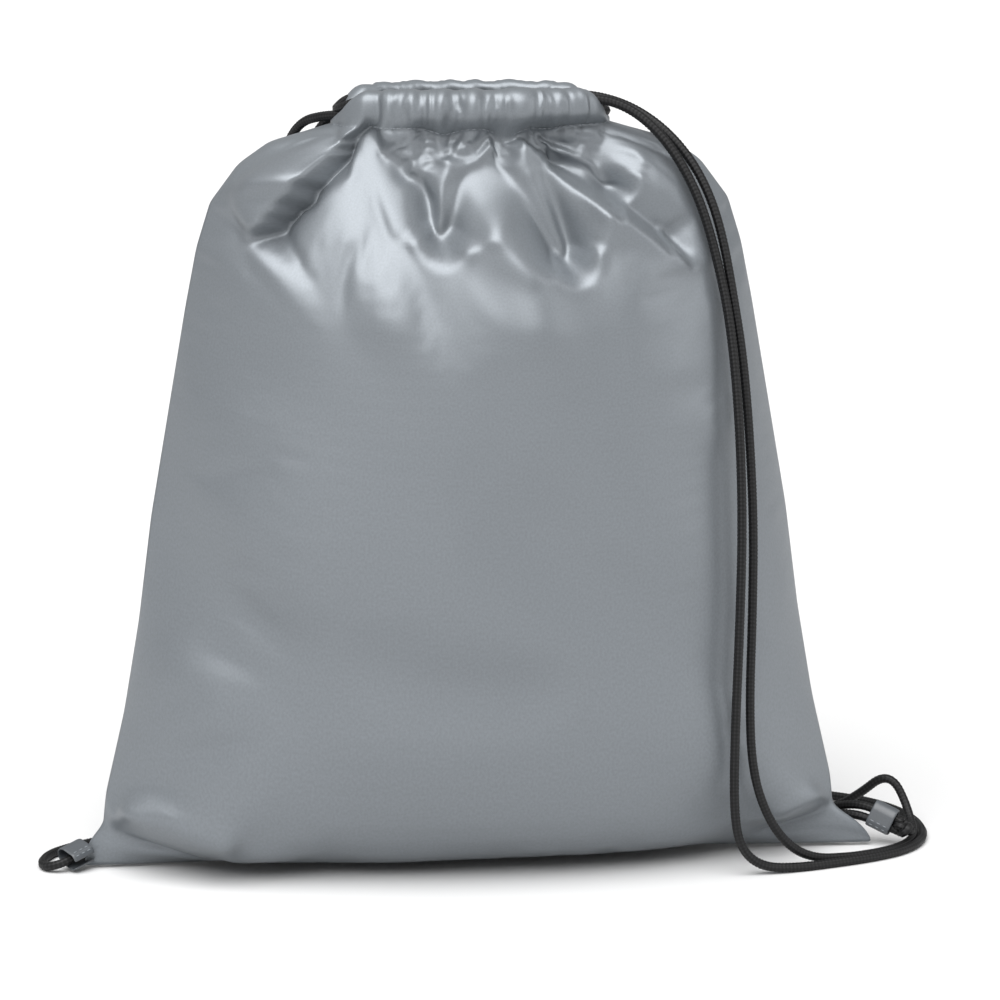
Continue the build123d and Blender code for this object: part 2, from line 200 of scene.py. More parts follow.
# Route of the right cord, knot to knot: back through the right tab, round behind the
# bag, over the floor, up the front, through both hems and down again beside itself.
RIGHT_ROUTE = [
    (0.1905, -0.0036, 0.0064), (0.181, 0.0006, 0.0102), (0.1705, 0.006, 0.0134),
    (0.1585, 0.017, 0.0095), (0.1435, 0.029, 0.004), (0.125, 0.0375, 0.0021), (0.108, 0.0435, 0.002),
    (0.097, 0.0535, 0.002), (0.0955, 0.0675, 0.002), (0.1035, 0.08, 0.002), (0.119, 0.088, 0.002),
    (0.1395, 0.0885, 0.002), (0.163, 0.082, 0.002), (0.184, 0.07, 0.002), (0.197, 0.054, 0.002),
    (0.2035, 0.035, 0.002), (0.2045, 0.016, 0.002), (0.2005, -0.001, 0.002), (0.19, -0.0155, 0.002),
    (0.174, -0.025, 0.002), (0.155, -0.032, 0.002), (0.137, -0.0375, 0.002), (0.1215, -0.04, 0.0035),
    (0.1115, -0.0425, 0.013), (0.108, -0.046, 0.032), (0.1078, -0.049, 0.068), (0.109, -0.05, 0.112),
    (0.11, -0.048, 0.157), (0.109, -0.043, 0.2), (0.106, -0.035, 0.24), (0.101, -0.029, 0.266),
    (0.0955, -0.026, 0.286), (0.089, -0.022, 0.3015), (0.08, -0.018, 0.3155), (0.069, -0.0145, 0.326),
    (0.057, -0.0125, 0.3315), (0.0445, -0.0142, HIGH), (0.028, -0.0192, HIGH), (0.008, -0.0216, HIGH),
    (-0.012, -0.0213, HIGH), (-0.031, -0.0185, HIGH), (-0.046, -0.0138, 0.3326),
    (-0.0525, -0.0100, 0.3300), (-0.0562, -0.0030, 0.3275), (-0.0562, 0.0050, 0.3275),
    (-0.0525, 0.0120, 0.3300), (-0.046, 0.0144, HIGH), (-0.03, 0.0189, HIGH), (-0.01, 0.0215, HIGH),
    (0.01, 0.0213, HIGH), (0.03, 0.0186, HIGH), (0.046, 0.0129, HIGH), (0.0585, 0.0045, 0.3308),
    (0.07, -0.004, 0.3266), (0.0815, -0.0108, 0.3184), (0.0915, -0.017, 0.3065),
    (0.099, -0.0225, 0.2915), (0.104, -0.0266, 0.2735), (0.1079, -0.0304, 0.25),
    (0.1116, -0.0344, 0.225), (0.114, -0.0385, 0.194), (0.1156, -0.043, 0.155), (0.1152, -0.045, 0.115),
    (0.1145, -0.0445, 0.076), (0.1165, -0.0425, 0.047), (0.1235, -0.0395, 0.026),
    (0.134, -0.0345, 0.011), (0.146, -0.029, 0.0036), (0.161, -0.024, 0.002), (0.177, -0.0185, 0.002),
    (0.1905, -0.009, 0.002), (0.1982, 0.004, 0.0022), (0.1995, 0.017, 0.005), (0.1978, 0.024, 0.013),
    (0.1938, 0.0275, 0.0215), (0.188, 0.031, 0.0225), (0.1805, 0.0355, 0.0145), (0.17, 0.043, 0.0055),
    (0.1565, 0.0545, 0.002), (0.1455, 0.066, 0.002), (0.1335, 0.072, 0.002), (0.121, 0.0723, 0.002),
    (0.1109, 0.0681, 0.002), (0.1067, 0.058, 0.002), (0.1109, 0.0479, 0.002), (0.121, 0.0437, 0.002),
    (0.135, 0.0415, 0.0026), (0.15, 0.033, 0.006), (0.163, 0.0195, 0.0125), (0.173, 0.0066, 0.0176),
    (0.1834, 0.0011, 0.0143), (0.191, -0.0026, 0.0106),
]
# Route of the left cord, knot to knot: along the floor behind the bag, through the left
# tab, round and up the back, through both hems and down again beside itself.
LEFT_ROUTE = [
    (-0.113, 0.046, 0.005), (-0.1225, 0.0395, 0.003), (-0.135, 0.031, 0.0022),
    (-0.1485, 0.0205, 0.0038), (-0.1605, 0.0086, 0.0084), (-0.1705, -0.0014, 0.0072),
    (-0.1785, -0.0065, 0.0042), (-0.1855, -0.003, 0.002), (-0.187, 0.007, 0.002),
    (-0.183, 0.018, 0.002), (-0.175, 0.0265, 0.002), (-0.165, 0.034, 0.002), (-0.151, 0.0425, 0.002),
    (-0.136, 0.05, 0.002), (-0.119, 0.0565, 0.002), (-0.101, 0.0606, 0.002), (-0.085, 0.0626, 0.0024),
    (-0.0745, 0.064, 0.008), (-0.0703, 0.0652, 0.02), (-0.0693, 0.0658, 0.042), (-0.07, 0.0654, 0.074),
    (-0.071, 0.065, 0.116), (-0.072, 0.064, 0.158), (-0.074, 0.06, 0.2), (-0.0765, 0.053, 0.241),
    (-0.0785, 0.0455, 0.267), (-0.0795, 0.0375, 0.29), (-0.077, 0.028, 0.3085), (-0.071, 0.016, 0.321),
    (-0.0615, 0.003, 0.3246), (-0.053, -0.0075, 0.3256), (-0.042, -0.015, LOW), (-0.026, -0.0195, LOW),
    (-0.007, -0.0216, LOW), (0.012, -0.0213, LOW), (0.031, -0.0185, LOW), (0.046, -0.0138, LOW),
    (0.0573, -0.0065, LOW), (0.0575, 0.0065, LOW), (0.046, 0.0138, LOW), (0.03, 0.0186, LOW),
    (0.01, 0.0214, LOW), (-0.01, 0.0215, LOW), (-0.029, 0.0191, LOW), (-0.0445, 0.0137, LOW),
    (-0.0555, 0.0168, 0.3243), (-0.063, 0.0245, 0.3175), (-0.067, 0.033, 0.305),
    (-0.0675, 0.0415, 0.288), (-0.0665, 0.049, 0.266), (-0.065, 0.056, 0.24), (-0.0635, 0.0625, 0.2),
    (-0.0615, 0.0665, 0.158), (-0.0602, 0.0686, 0.116), (-0.0595, 0.0695, 0.074),
    (-0.0588, 0.0715, 0.04), (-0.0555, 0.076, 0.018), (-0.046, 0.0805, 0.005), (-0.029, 0.083, 0.002),
    (0.006, 0.0846, 0.002), (0.04, 0.0844, 0.002), (0.066, 0.0825, 0.002), (0.0759, 0.0784, 0.002),
    (0.08, 0.0685, 0.002), (0.0759, 0.0586, 0.002), (0.066, 0.0545, 0.002), (0.04, 0.053, 0.002),
    (0.004, 0.0536, 0.002), (-0.034, 0.054, 0.002), (-0.066, 0.0526, 0.002), (-0.092, 0.0506, 0.0024),
    (-0.107, 0.0486, 0.005),
]

# ---- corner tabs: where each is sewn in, which way it points, its sewn line ------
LEFT_TAB = (Vector((-0.168, -0.006, 0.0054)), Vector((-0.634, 0.724, 0.272)),
            Vector((0.774, 0.594, 0.222)))
RIGHT_TAB = (Vector((0.180, 0.0, 0.007)), Vector((0.45, 0.10, 0.887)),
             Vector((0.828, -0.419, -0.373)))
TAB_WIDTH = 0.011
TAB_HALF = 0.0039          # half the height of the loop
TAB_LENGTH = 0.0122
TAB_THICKNESS = 0.0007
TAB_STRAIGHT = 0.40        # share of the strap on each face, the rest goes round the end
TACK_PLACES = (0.0012, 0.0030)    # distances of the tack rows from the sewn line
TACK_MARGIN = 0.002

# ---- knots: where they lie, and how large the trefoil is -------------------------
LEFT_KNOT = Vector((-0.111, 0.0472, 0.0045))
RIGHT_KNOT = Vector((0.1916, -0.004, 0.0084))
KNOT_SCALE = 0.00125
KNOT_STEPS = 72
KNOT_FLATNESS = 1.15

# ---- stitches and seam allowances --------------------------------------------------
STITCH_PROUD = 0.0003      # how far the hem stitches stand out
STITCH_GAP = 0.0008
THREAD_D = 0.00038
STITCH_STEPS = 240
STITCH_SHARE = 0.045       # share of the hem cloth below the stitch line
ALLOWANCE_DEPTH = 0.006
ALLOWANCE_INSET = 0.002
ALLOWANCE_RIPPLE = 0.0006
ALLOWANCE_THICKNESS = 0.0008
ALLOWANCE_ROWS = 90
SIDE_SEAM_START = 0.07
SIDE_SEAM_LENGTH = WALL_LENGTH - 0.085
BOTTOM_SEAM_HALF = 0.140
BOTTOM_SEAM_HEIGHT = 0.0035

# ---- camera and light ----------------------------------------------------------------
CAMERA_PLACE = (-0.15167, -1.5620, 0.46429)
CAMERA_AIM = Vector((0.0125, 0.0, 0.159))
CAMERA_LENS = 133.95
# direction a light comes from, its spread in degrees, its strength
KEY_LIGHT = ((-0.20, -0.48, 0.84), 62.0, 4.7)
SIDE_LIGHT = ((0.90, -0.25, 0.30), 40.0, 0.60)
SURROUNDINGS = 0.42
FLOOR_COLOUR = (0.66, 0.66, 0.66)
FLOOR_SIZE = 12.0


# ---- properties ------------------------------------------------------------------
class BagColours(bpy.types.PropertyGroup):
    cloth: bpy.props.FloatVectorProperty(
        name="Cloth", description="Polyester cloth of the bag", subtype="COLOR", size=3,
        default=(0.176, 0.193, 0.210), min=0, max=1)
    tab: bpy.props.FloatVectorProperty(
        name="Tab", description="Pressed cloth of the corner tabs", subtype="COLOR", size=3,
        default=(0.055, 0.062, 0.070), min=0, max=1)
    thread: bpy.props.FloatVectorProperty(
        name="Thread", description="Sewing thread", subtype="COLOR", size=3,
        default=(0.23, 0.25, 0.27), min=0, max=1)
    cord: bpy.props.FloatVectorProperty(
        name="Cord", description="Braided cord", subtype="COLOR", size=3,
        default=(0.0050, 0.0050, 0.0054), min=0, max=1)


class BagSizes(bpy.types.PropertyGroup):
    cloth_thickness: bpy.props.FloatProperty(
        name="Cloth thickness", description="Thickness of one layer of cloth", unit="LENGTH",
        default=0.0004, min=0.0001, max=0.002)
    stitch_length: bpy.props.FloatProperty(
        name="Stitch length", description="Length of one stitch", unit="LENGTH",
        default=0.0022, min=0.001, max=0.005)
    braid_relief: bpy.props.FloatProperty(
        name="Braid relief", description="How far the cord's strands stand out", unit="LENGTH",
        default=0.00022, min=0.0, max=0.0006)
    frames: bpy.props.IntProperty(
        name="Settling steps", description="Steps of the cloth simulation", default=14, min=1, max=40)


# ---- small helpers ---------------------------------------------------------------
def between(table, at, column):
    """Value of a column of a table at a distance, straight between its rows."""
    for before, after in zip(table, table[1:]):
        if at <= after[0]:
            share = (at - before[0]) / (after[0] - before[0])
            return before[column] + (after[column] - before[column]) * share
    return table[-1][column]


def ease(start, end, value):
    """Smooth step, from 0 at the start to 1 at the end."""
    share = min(max((value - start) / (end - start), 0.0), 1.0)
    return share * share * (3 - 2 * share)


def nearest_on(line, x, z):
    """Distance to a line, signed (positive below it), and the share along it."""
    best = None
    lengths = [math.dist(a, b) for a, b in zip(line, line[1:])]
    run = 0.0
    for (ax, az), (bx, bz), length in zip(line, line[1:], lengths):
        dx, dz = (bx - ax) / length, (bz - az) / length
        along = min(max((x - ax) * dx + (z - az) * dz, 0.0), length)
        near_x, near_z = ax + dx * along, az + dz * along
        distance = math.hypot(x - near_x, z - near_z)
        side = (x - ax) * dz - (z - az) * dx
        if best is None or distance < best[0]:
            best = (distance, math.copysign(1.0, side), (run + along) / sum(lengths))
        run += length
    return best


def mesh_object(name, bm):
    """Smooth shaded object made from a bmesh, which is freed."""
    mesh = bpy.data.meshes.new(name)
    bm.to_mesh(mesh)
    bm.free()
    piece = bpy.data.objects.new(name, mesh)
    bpy.context.scene.collection.objects.link(piece)
    for face in mesh.polygons:
        face.use_smooth = True
    return piece


def grid(columns, rows, place, uv_size=(1.0, 1.0)):
    """Sheet of quads: place(u, v) gives each point, u and v from 0 to 1."""
    bm = bmesh.new()
    bm.loops.layers.uv.new("UVMap")
    bmesh.ops.create_grid(bm, x_segments=columns, y_segments=rows, size=0.5, calc_uvs=True)
    layer = bm.loops.layers.uv.active
    for face in bm.faces:
        for loop in face.loops:
            u, v = loop[layer].uv
            loop[layer].uv = (u * uv_size[0], v * uv_size[1])
    for vert in bm.verts:
        vert.co = place(min(max(vert.co.x + 0.5, 0.0), 1.0), min(max(vert.co.y + 0.5, 0.0), 1.0))
    return bm


# ---- materials -------------------------------------------------------------------
def socket(group, name, direction, kind, default=None):
    made = group.interface.new_socket(name=name, in_out=direction, socket_type=kind)
    if default is not None:
        made.default_value = default


def math_node(tree, operation, first, second):
    node = tree.nodes.new("ShaderNodeMath")
    node.operation = operation
    for index, value in enumerate((first, second)):
        if isinstance(value, (int, float)):
            node.inputs[index].default_value = value
        elif value is not None:
            tree.links.new(value, node.inputs[index])
    return node.outputs[0]


def weave_group():
    """Plain weave: a fine check of warp and weft, with uneven yarns."""
    group = bpy.data.node_groups.new("plain_weave", "ShaderNodeTree")
    socket(group, "Vector", "INPUT", "NodeSocketVector")
    socket(group, "Pitch", "INPUT", "NodeSocketFloat", 0.0008)
    socket(group, "Height", "OUTPUT", "NodeSocketFloat")
    socket(group, "Tone", "OUTPUT", "NodeSocketFloat")
    inside = group.nodes.new("NodeGroupInput")
    outside = group.nodes.new("NodeGroupOutput")
    split = group.nodes.new("ShaderNodeSeparateXYZ")
    group.links.new(inside.outputs["Vector"], split.inputs[0])
    turn = math_node(group, "DIVIDE", 2 * math.pi, inside.outputs["Pitch"])
    warp = math_node(group, "SINE", math_node(group, "MULTIPLY", split.outputs[0], turn), None)
    weft = math_node(group, "SINE", math_node(group, "MULTIPLY", split.outputs[1], turn), None)
    group.links.new(math_node(group, "MULTIPLY", warp, weft), outside.inputs["Height"])
    yarn = group.nodes.new("ShaderNodeTexNoise")
    yarn.inputs["Scale"].default_value = 900.0
    yarn.inputs["Detail"].default_value = 2.0
    group.links.new(inside.outputs["Vector"], yarn.inputs["Vector"])
    group.links.new(yarn.outputs["Fac"], outside.inputs["Tone"])
    return group


def braid_group():
    """Braid: two families of strands winding opposite ways round the cord."""
    group = bpy.data.node_groups.new("braid", "ShaderNodeTree")
    socket(group, "Vector", "INPUT", "NodeSocketVector")
    socket(group, "Mask", "OUTPUT", "NodeSocketFloat")
    inside = group.nodes.new("NodeGroupInput")
    outside = group.nodes.new("NodeGroupOutput")
    split = group.nodes.new("ShaderNodeSeparateXYZ")
    group.links.new(inside.outputs["Vector"], split.inputs[0])
    along = math_node(group, "MULTIPLY", split.outputs[0], 2 * math.pi / BRAID_PITCH)
    around = math_node(group, "MULTIPLY", split.outputs[1], 2 * math.pi * BRAID_STRANDS)
    left = math_node(group, "SINE", math_node(group, "ADD", along, around), None)
    right = math_node(group, "SINE", math_node(group, "SUBTRACT", along, around), None)
    product = math_node(group, "MULTIPLY", left, right)
    half = math_node(group, "MULTIPLY", product, 0.5)
    group.links.new(math_node(group, "ADD", half, 0.5), outside.inputs["Mask"])
    return group


def finish_material(name, colour, roughness, metallic, specular):
    """Material with its Principled BSDF; colour and bump are linked by the caller."""
    material = bpy.data.materials.new(name)
    material.use_nodes = True
    shader = material.node_tree.nodes["Principled BSDF"]
    shader.inputs["Base Color"].default_value = (*colour, 1.0)
    shader.inputs["Roughness"].default_value = roughness
    shader.inputs["Metallic"].default_value = metallic
    shader.inputs["Specular IOR Level"].default_value = specular
    return material, material.node_tree, shader


def bump(tree, shader, height, strength, distance):
    node = tree.nodes.new("ShaderNodeBump")
    node.inputs["Strength"].default_value = strength
    node.inputs["Distance"].default_value = distance
    tree.links.new(height, node.inputs["Height"])
    tree.links.new(node.outputs["Normal"], shader.inputs["Normal"])


def tinted(tree, shader, mask, dark, light):
    """Link a ramp from a dark to a light tone as the base colour."""
    ramp = tree.nodes.new("ShaderNodeValToRGB")
    ramp.color_ramp.elements[0].color = (*dark, 1.0)
    ramp.color_ramp.elements[1].color = (*light, 1.0)
    tree.links.new(mask, ramp.inputs["Fac"])
    tree.links.new(ramp.outputs["Color"], shader.inputs["Base Color"])
    return ramp


def scaled(colour, factor):
    return tuple(min(channel * factor, 1.0) for channel in colour)


def cloth_material(name, colour, roughness, metallic):
    """Fine plain weave, its yarns a little uneven in tone."""
    material, tree, shader = finish_material(name, colour, roughness, metallic, 0.8)
    coords = tree.nodes.new("ShaderNodeTexCoord")
    weave = tree.nodes.new("ShaderNodeGroup")
    weave.node_tree = bpy.data.node_groups["plain_weave"]
    weave.inputs["Pitch"].default_value = 0.0009
    tree.links.new(coords.outputs["UV"], weave.inputs["Vector"])
    ramp = tinted(tree, shader, weave.outputs["Tone"], scaled(colour, 0.93), scaled(colour, 1.07))
    ramp.color_ramp.elements[0].position = 0.30
    ramp.color_ramp.elements[1].position = 0.70
    bump(tree, shader, weave.outputs["Height"], 0.12, 0.00004)
    return material


def cord_material(name, colour):
    """Braided cord, with painted shade between its strands and painted light on their tops."""
    material, tree, shader = finish_material(name, colour, 0.55, 0.0, 0.30)
    coords = tree.nodes.new("ShaderNodeTexCoord")
    braid = tree.nodes.new("ShaderNodeGroup")
    braid.node_tree = bpy.data.node_groups["braid"]
    tree.links.new(coords.outputs["UV"], braid.inputs["Vector"])
    # painted shade in the gaps between the strands, painted light on the strand tops
    ramp = tinted(tree, shader, braid.outputs["Mask"], scaled(colour, 0.30), scaled(colour, 3.0))
    ramp.color_ramp.elements[0].position = 0.35
    ramp.color_ramp.elements[1].position = 0.95
    bump(tree, shader, braid.outputs["Mask"], 0.6, 0.0002)
    return material


def thread_material(name, colour):
    """Sewing thread, mottled by its plies."""
    material, tree, shader = finish_material(name, colour, 0.55, 0.0, 0.4)
    coords = tree.nodes.new("ShaderNodeTexCoord")
    ply = tree.nodes.new("ShaderNodeTexNoise")
    ply.inputs["Scale"].default_value = 1500.0
    tree.links.new(coords.outputs["Object"], ply.inputs["Vector"])
    tinted(tree, shader, ply.outputs["Fac"], scaled(colour, 0.8), scaled(colour, 1.2))
    bump(tree, shader, ply.outputs["Fac"], 0.3, 0.0001)
    return material


# ---- cloth shape -------------------------------------------------------------------
def half_ellipse_point(half_width, half_depth, u):
    """Point of a half ellipse, at an even share of its length."""
    steps = 48
    angles = [-math.pi / 2 + math.pi * step / steps for step in range(steps + 1)]
    points = [(half_width * math.sin(a), half_depth * math.cos(a)) for a in angles]
    lengths = [0.0]
    for before, after in zip(points, points[1:]):
        lengths.append(lengths[-1] + math.dist(before, after))
    at = u * lengths[-1]
    for index in range(steps):
        if at <= lengths[index + 1] or index == steps - 1:
            share = (at - lengths[index]) / (lengths[index + 1] - lengths[index])
            x = points[index][0] + (points[index + 1][0] - points[index][0]) * share
            y = points[index][1] + (points[index + 1][1] - points[index][1]) * share
            return x, max(y, 0.0)


def gather(gathers, x):
    """Bulge of the gathered hem at x: lobes with tight valleys between."""
    total = GATHER_PINCH
    for middle, half_width, bulge in gathers:
        away = abs(x - middle) / (half_width * 1.15)
        if away < 1:
            total += (1.9 * bulge - GATHER_PINCH) * math.sqrt(1 - away * away)
    return total


def fold_height(side, x, z):
    """How far the folds push the cloth out (or in, negative) at one place."""
    pockets, creases, ridges = ((FRONT_POCKETS, FRONT_CREASES, FRONT_RIDGES) if side < 0 else
                                (BACK_POCKETS, BACK_CREASES, BACK_RIDGES))
    total = 0.0
    for line, half_width, depth, ridge in pockets:
        distance, _, along = nearest_on(line, x, z)
        if along >= 1.0:
            distance *= 1.6
        width = half_width * (0.45 + 0.75 * math.sin(math.pi * min(0.15 + 0.75 * along, 1.0)))
        inside = 1 - ease(0.12 * width, 1.25 * width, distance)
        fade = ease(-0.15, 0.25, along)
        rim = math.exp(-((distance - 1.30 * width) / (0.35 * width)) ** 2)
        total -= depth * inside * fade
        total += ridge * math.exp(-(distance / (0.22 * width)) ** 2) * inside
        total += POCKET_RIM * rim * fade
    for line, rise, fall, reach_low, reach_high in creases:
        distance, below, along = nearest_on(line, x, z)
        fade = ease(0.0, 0.12, along) * (1 - ease(0.86, 1.0, along))
        if below > 0:
            total += rise * math.exp(-(distance / reach_low) ** 1.4) * fade
        else:
            total -= fall * math.exp(-(distance / reach_high) ** 1.4) * fade
    for line, height, half_width in ridges:
        distance, _, along = nearest_on(line, x, z)
        fade = ease(-0.2, 0.25, along) * (1 - ease(0.75, 1.2, along))
        total += height * math.exp(-(distance / half_width) ** 2) * fade
    return total


def wall_point(side, u, distance):
    """Point of the stuffed wall of one panel, before it settles."""
    half_width = between(SIDE_PROFILE, distance, 1)
    half_depth = between(MIDDLE_PROFILE, distance, 1)
    x, y = half_ellipse_point(half_width, half_depth, u)
    lift = (abs(x) / half_width) ** EDGE_LIFT_POWER
    low = 1 - ease(0.040, 0.115, distance)
    if side < 0:
        y *= 1 - 0.32 * low * ease(-0.120, -0.060, x)
    z = between(MIDDLE_PROFILE, distance, 2) * (1 - lift) + between(SIDE_PROFILE, distance, 2) * lift
    z += BASE_ARCH * low * math.exp(-((x - 0.02) / 0.085) ** 2)
    out = Vector((x / half_width ** 2, y / max(half_depth, 0.003) ** 2))
    out = out.normalized() if out.length > 0 else Vector((0, 1))
    edge = ease(0.0, 0.010, half_width - abs(x)) if distance > 0.01 else 0.0
    gathers = FRONT_GATHERS if side < 0 else BACK_GATHERS
    near_hem = ease(WALL_LENGTH - NEAR_HEM, WALL_LENGTH, distance)
    push = fold_height(side, x, z) * edge * ease(0.010, 0.032, distance) * (1 - 0.55 * near_hem)
    push += gather(gathers, x) * near_hem * edge
    x += out.x * push
    y += out.y * push
    if side < 0:
        for middle, drop in HEM_DROPS:
            sag = drop * near_hem * math.exp(-((x - middle) / HEM_DROP_REACH) ** 2)
            z -= sag
            y -= sag
    ear = 1 - ease(0.0, EAR_LENGTH, distance)
    if x > 0:
        x *= 1 + (RIGHT_EAR_REACH / SIDE_PROFILE[0][1] - 1) * ear
    return Vector((x, side * y, z))


def hem_point(side, u, share):
    """Point of the hem: up the outside, over the top and down the inside."""
    stitch = wall_point(side, u, WALL_LENGTH)
    x, y = half_ellipse_point(*HEM_AXES, u)
    out = Vector((x / HEM_AXES[0] ** 2, y / HEM_AXES[1] ** 2)).normalized()
    gathers = FRONT_GATHERS if side < 0 else BACK_GATHERS
    slant = HEM_SLANT * math.sin(HEM_SLANT_WAVES * stitch.x) * (share - 0.2)
    bulge = gather(gathers, stitch.x + slant)
    shoulder = HEM_TOP - HEM_ROUND
    if share < HEM_UP:
        climbed = share / HEM_UP
        z = HEM_LOW + (shoulder - HEM_LOW) * climbed
        offset = HEM_HALF + 0.0009 * math.sin(math.pi * climbed) + bulge
    elif share < HEM_OVER:
        turn = math.pi * (share - HEM_UP) / (HEM_OVER - HEM_UP)
        z = shoulder + (0.0034 + 0.35 * bulge) * math.sin(turn)
        offset = HEM_HALF * math.cos(turn) + bulge * (0.5 + 0.5 * math.cos(turn))
    else:
        z = shoulder - (shoulder - HEM_LOW - 0.0010) * (share - HEM_OVER) / (1 - HEM_OVER)
        offset = -HEM_HALF + 0.5 * gather(gathers, -stitch.x)
    target = Vector((x + out.x * offset, side * (y + out.y * offset), z))
    end = 0.15 + 0.85 * ease(0.0, 0.15, min(u, 1 - u))
    return stitch.lerp(target, ease(0.0, 0.16, share) * end)


def panel_point(side, u, v):
    """Point of a sheet, v being the share of its cut length from the bottom seam."""
    distance = v * (WALL_LENGTH + HEM_LENGTH)
    if distance <= WALL_LENGTH:
        return wall_point(side, u, distance)
    return hem_point(side, u, (distance - WALL_LENGTH) / HEM_LENGTH)


def panel_grid(side):
    """Sheet as a grid, its rows closer together towards the hem."""
    rows = WALL_ROWS + HEM_ROWS
    wall_share = WALL_LENGTH / (WALL_LENGTH + HEM_LENGTH)

    def place(u, v):
        row = round(v * rows)
        if row <= WALL_ROWS:
            even = row / WALL_ROWS
            v = wall_share * (even + ROW_CROWDING * even * (1 - even))
        else:
            v = wall_share + (1 - wall_share) * (row - WALL_ROWS) / HEM_ROWS
        return panel_point(side, u if side < 0 else 1 - u, v)

    return grid(COLUMNS, rows, place, (CUT_WIDTH, WALL_LENGTH + HEM_LENGTH))


def settle(piece, frames):
    """Let a sheet with a little slack find its own wrinkles, its seams and hem held."""
    scene = bpy.context.scene
    mesh = piece.data
    start = [vert.co.copy() for vert in mesh.vertices]
    bm = bmesh.new()
    bm.from_mesh(mesh)
    held = [vert.index for vert in bm.verts
            if vert.is_boundary or vert.co.z > HELD_ABOVE or vert.co.z < HELD_BELOW]
    bm.free()
    mesh.transform(Matrix.Scale(SIM_SCALE, 4))
    piece.shape_key_add(name="start")
    cut = piece.shape_key_add(name="cut")
    for point, place in zip(cut.data, start):
        point.co = place * SIM_SCALE * SLACK
    pins = piece.vertex_groups.new(name="held")
    pins.add(held, 1.0, "REPLACE")
    cloth = piece.modifiers.new("cloth", "CLOTH")
    cloth.settings.quality = 6
    cloth.settings.mass = 0.02
    cloth.settings.tension_stiffness = 25
    cloth.settings.compression_stiffness = 25
    cloth.settings.shear_stiffness = 12
    cloth.settings.bending_stiffness = 0.8
    cloth.settings.tension_damping = 12
    cloth.settings.compression_damping = 12
    cloth.settings.shear_damping = 10
    cloth.settings.vertex_group_mass = "held"
    cloth.settings.rest_shape_key = cut
    cloth.settings.use_pressure = True
    cloth.settings.uniform_pressure_force = 1.5
    cloth.settings.effector_weights.gravity = 0.25
    cloth.collision_settings.use_collision = False
    scene.frame_start = 1
    scene.frame_end = frames
    for number in range(1, frames + 1):
        scene.frame_set(number)
    evaluated = piece.evaluated_get(bpy.context.evaluated_depsgraph_get())
    after = [vert.co / SIM_SCALE for vert in evaluated.to_mesh().vertices]
    evaluated.to_mesh_clear()
    scene.frame_set(1)
    piece.modifiers.clear()
    piece.shape_key_clear()
    piece.vertex_groups.clear()
    for vert, before, place in zip(mesh.vertices, start, after):
        move = place - before
        if move.length > MOST_MOVED:
            move *= MOST_MOVED / move.length
        vert.co = before + move
    mesh.update()


def panel(name, side, thickness):
    """One sheet, facing out, settled and given its thickness inwards."""
    bm = panel_grid(side)
    bmesh.ops.recalc_face_normals(bm, faces=bm.faces)
    centre = Vector((0, side * WALL_MIDDLE[0], WALL_MIDDLE[1]))
    middle = min(bm.faces, key=lambda face: (face.calc_center_median() - centre).length)
    if middle.normal.y * side < 0:
        bmesh.ops.reverse_faces(bm, faces=bm.faces)
    piece = mesh_object(name, bm)
    settle(piece, sizes().frames)
    smooth = piece.modifiers.new("rounder", "SUBSURF")
    smooth.levels = 1
    smooth.render_levels = 1
    solid = piece.modifiers.new("thickness", "SOLIDIFY")
    solid.thickness = thickness
    solid.offset = -1.0
    return piece


# ---- cords, knots, tabs, stitches ----------------------------------------------------
def spline_points(name, points):
    """Even points of the smooth line through a route, read from its NURBS spline."""
    curve = bpy.data.curves.new(name, "CURVE")
    curve.dimensions = "3D"
    curve.resolution_u = 12
    spline = curve.splines.new("NURBS")
    spline.points.add(len(points) - 1)
    for point, place in zip(spline.points, points):
        point.co = (*place, 1.0)
    spline.order_u = 3
    spline.use_endpoint_u = True
    holder = bpy.data.objects.new(name, curve)
    mesh = bpy.data.meshes.new_from_object(holder)
    line = [vert.co.copy() for vert in mesh.vertices]
    bpy.data.meshes.remove(mesh)
    bpy.data.objects.remove(holder)
    bpy.data.curves.remove(curve)
    return line


def even_points(line, step):
    """Evenly spaced points along a line, and its length."""
    lengths = [0.0]
    for before, after in zip(line, line[1:]):
        lengths.append(lengths[-1] + (after - before).length)
    count = max(int(lengths[-1] / step), 2)
    even = []
    index = 0
    for number in range(count + 1):
        at = lengths[-1] * number / count
        while index < len(line) - 2 and lengths[index + 1] < at:
            index += 1
        share = (at - lengths[index]) / max(lengths[index + 1] - lengths[index], 1e-9)
        even.append(line[index].lerp(line[index + 1], share))
    return even, lengths[-1]


def carried_frames(points):
    """Direction and side vector at each point, turned as little as possible."""
    frames = []
    side = None
    for index, point in enumerate(points):
        before = points[max(index - 1, 0)]
        after = points[min(index + 1, len(points) - 1)]
        ahead = (after - before).normalized()
        if side is None:
            side = ahead.orthogonal().normalized()
        side = (side - ahead * side.dot(ahead)).normalized()
        frames.append((ahead, side, ahead.cross(side)))
    return frames


